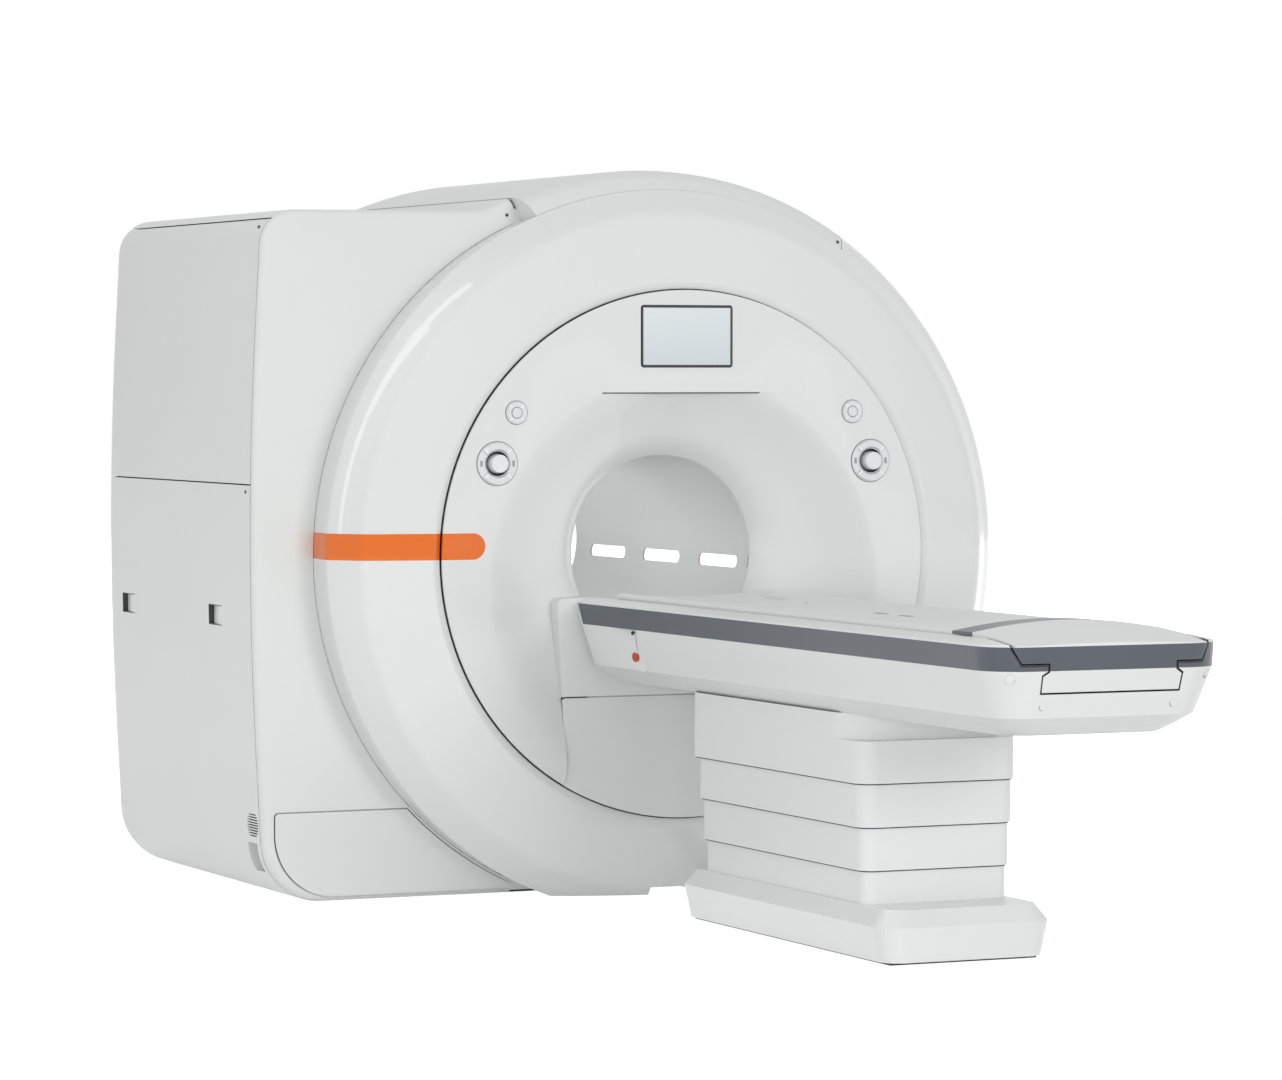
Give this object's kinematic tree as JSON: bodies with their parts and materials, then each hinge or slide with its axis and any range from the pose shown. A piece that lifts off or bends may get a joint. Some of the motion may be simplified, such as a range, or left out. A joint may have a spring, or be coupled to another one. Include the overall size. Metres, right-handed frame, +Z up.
{
  "type": "mri scanner",
  "caption": "Closed-bore magnetic resonance scanner: round white gantry with a side wing, dished face, docked lifting patient table with a sliding tabletop on a telescopic column.",
  "frame": {"origin": "on the floor under the isocentre, the middle of the patient bore", "axes": "+Y into the bore, the way the patient travels; +Z up; +X to the right of someone facing the bore from the table"},
  "size_m": [2.472, 4.288, 2.222],
  "materials": {
    "white_cover": "satin white moulded cover",
    "white_gloss": "gloss white moulded cover",
    "bore_white": "satin white bore lining",
    "control_white": "satin light grey keys",
    "knob_grey": "gloss light grey knob",
    "tabletop_white": "satin white laminate",
    "slate_trim": "satin slate grey trim",
    "screen": "dark-edged display glass",
    "light_window": "white diffuser",
    "lever_orange": "gloss orange red",
    "screw_grey": "light grey caps",
    "frame_steel": "grey painted steel",
    "vessel_steel": "brushed stainless steel",
    "winding": "resin-bonded winding",
    "coil_resin": "cast epoxy resin",
    "cast_aluminium": "satin aluminium",
    "rack_paint": "dark painted steel",
    "belt_rubber": "toothed belt rubber"
  },
  "bodies": {
    "gantry_and_base": {"base_cover": "white_gloss", "base_plate": "frame_steel", "body_coil": "coil_resin", "bore_bridge": "bore_white", "bore_light_windows": "light_window", "bore_liner": "bore_white", "cold_head": "cast_aluminium", "cover_frame": "frame_steel", "cover_screws": "screw_grey", "display_screen": "screen", "dock_pillar_cover": "white_cover", "electronics_rack": "rack_paint", "floor_duct": "frame_steel", "front_face_cover": "white_gloss", "front_ring_cover": "white_gloss", "gradient_coil": "coil_resin", "helium_vessel": "vessel_steel", "large_control_housings": "control_white", "lift_column_outer": "frame_steel", "lower_front_panel": "white_cover", "lower_sleeve": "white_cover", "magnet_cradle": "frame_steel", "magnet_vessel": "vessel_steel", "rear_cover": "white_cover", "right_side_cover": "white_cover", "small_control_housings": "control_white", "superconducting_coils": "winding", "top_cover": "white_gloss", "wing_access_panel": "white_cover", "wing_front_cover": "white_cover", "wing_lower_panel": "white_cover", "wing_upper_panel": "white_cover"},
    "table": {"upper_sleeve": "white_cover", "lift_column_inner": "cast_aluminium", "table_chassis": "cast_aluminium", "table_body_cover": "white_cover", "side_strips": "slate_trim", "screw_caps": "screw_grey", "drive_belt": "belt_rubber", "drive_motor": "cast_aluminium"},
    "second_sleeve": {"second_sleeve": "white_cover"},
    "third_sleeve": {"third_sleeve": "white_cover"},
    "lift_middle": {"lift_column_middle": "cast_aluminium"},
    "tabletop": {"tabletop": "tabletop_white", "end_cap": "tabletop_white", "end_cap_band": "slate_trim"},
    "head_pulley": {"head_pulley": "cast_aluminium"},
    "drive_pulley": {"drive_pulley": "cast_aluminium"},
    "jog_knob_left": {"jog_knob_left": "knob_grey"},
    "upper_key_left": {"upper_key_left": "control_white"},
    "lower_key_left": {"lower_key_left": "control_white"},
    "four_way_key_left": {"four_way_key_left": "control_white"},
    "centre_button_left": {"centre_button_left": "control_white"},
    "release_lever_left": {"release_lever_left": "lever_orange"},
    "jog_knob_right": {"jog_knob_right": "knob_grey"},
    "upper_key_right": {"upper_key_right": "control_white"},
    "lower_key_right": {"lower_key_right": "control_white"},
    "four_way_key_right": {"four_way_key_right": "control_white"},
    "centre_button_right": {"centre_button_right": "control_white"},
    "release_lever_right": {"release_lever_right": "lever_orange"}
  },
  "joints": [
    {"name": "table_lift", "type": "slide", "parent": "gantry_and_base", "child": "table", "axis": [0, 0, 1], "range_m": [-0.29, 0]},
    {"name": "second_sleeve_slide", "type": "slide", "parent": "gantry_and_base", "child": "second_sleeve", "axis": [0, 0, 1], "range_m": [-0.203, 0]},
    {"name": "third_sleeve_slide", "type": "slide", "parent": "gantry_and_base", "child": "third_sleeve", "axis": [0, 0, 1], "range_m": [-0.083, 0]},
    {"name": "lift_middle_slide", "type": "slide", "parent": "gantry_and_base", "child": "lift_middle", "axis": [0, 0, 1], "range_m": [-0.145, 0]},
    {"name": "tabletop_slide", "type": "slide", "parent": "table", "child": "tabletop", "axis": [0, 1, 0], "range_m": [0, 1.9]},
    {"name": "head_pulley_spin", "type": "hinge", "parent": "table", "child": "head_pulley", "pos_m": [0, -1.019, 0.725], "axis": [-1, 0, 0], "continuous": true},
    {"name": "drive_pulley_spin", "type": "hinge", "parent": "table", "child": "drive_pulley", "pos_m": [0, -3.279, 0.725], "axis": [-1, 0, 0], "continuous": true},
    {"name": "jog_knob_left_turn", "type": "hinge", "parent": "gantry_and_base", "child": "jog_knob_left", "pos_m": [-0.6255, -0.849, 1.326], "axis": [0, 1, 0], "range_deg": [-30, 30], "stiffness_Nm_per_rad": 0.3},
    {"name": "upper_key_left_press", "type": "slide", "parent": "gantry_and_base", "child": "upper_key_left", "axis": [0, 1, 0], "range_m": [0, 0.0015], "stiffness_N_per_m": 800},
    {"name": "lower_key_left_press", "type": "slide", "parent": "gantry_and_base", "child": "lower_key_left", "axis": [0, 1, 0], "range_m": [0, 0.0015], "stiffness_N_per_m": 800},
    {"name": "four_way_key_left_press", "type": "slide", "parent": "gantry_and_base", "child": "four_way_key_left", "axis": [0, 1, 0], "range_m": [0, 0.0015], "stiffness_N_per_m": 800},
    {"name": "centre_button_left_press", "type": "slide", "parent": "gantry_and_base", "child": "centre_button_left", "axis": [0, 1, 0], "range_m": [0, 0.0015], "stiffness_N_per_m": 800},
    {"name": "release_lever_left_swing", "type": "hinge", "parent": "table", "child": "release_lever_left", "pos_m": [-0.3144, -1.151, 0.825], "axis": [-0.9713, -0.2176, -0.0962], "range_deg": [0, 12], "stiffness_Nm_per_rad": 1},
    {"name": "jog_knob_right_turn", "type": "hinge", "parent": "gantry_and_base", "child": "jog_knob_right", "pos_m": [0.6255, -0.849, 1.326], "axis": [0, 1, 0], "range_deg": [-30, 30], "stiffness_Nm_per_rad": 0.3},
    {"name": "upper_key_right_press", "type": "slide", "parent": "gantry_and_base", "child": "upper_key_right", "axis": [0, 1, 0], "range_m": [0, 0.0015], "stiffness_N_per_m": 800},
    {"name": "lower_key_right_press", "type": "slide", "parent": "gantry_and_base", "child": "lower_key_right", "axis": [0, 1, 0], "range_m": [0, 0.0015], "stiffness_N_per_m": 800},
    {"name": "four_way_key_right_press", "type": "slide", "parent": "gantry_and_base", "child": "four_way_key_right", "axis": [0, 1, 0], "range_m": [0, 0.0015], "stiffness_N_per_m": 800},
    {"name": "centre_button_right_press", "type": "slide", "parent": "gantry_and_base", "child": "centre_button_right", "axis": [0, 1, 0], "range_m": [0, 0.0015], "stiffness_N_per_m": 800},
    {"name": "release_lever_right_swing", "type": "hinge", "parent": "table", "child": "release_lever_right", "pos_m": [0.3144, -1.151, 0.825], "axis": [-0.9713, 0.2176, 0.0962], "range_deg": [0, 12], "stiffness_Nm_per_rad": 1}
  ],
  "couplings": [
    {"joint": "second_sleeve_slide", "follows": "table_lift", "ratio": 0.7},
    {"joint": "third_sleeve_slide", "follows": "table_lift", "ratio": 0.2862},
    {"joint": "lift_middle_slide", "follows": "table_lift", "ratio": 0.5},
    {"joint": "head_pulley_spin", "follows": "tabletop_slide", "rad_per_m": 45.872},
    {"joint": "drive_pulley_spin", "follows": "tabletop_slide", "rad_per_m": 45.872}
  ]
}
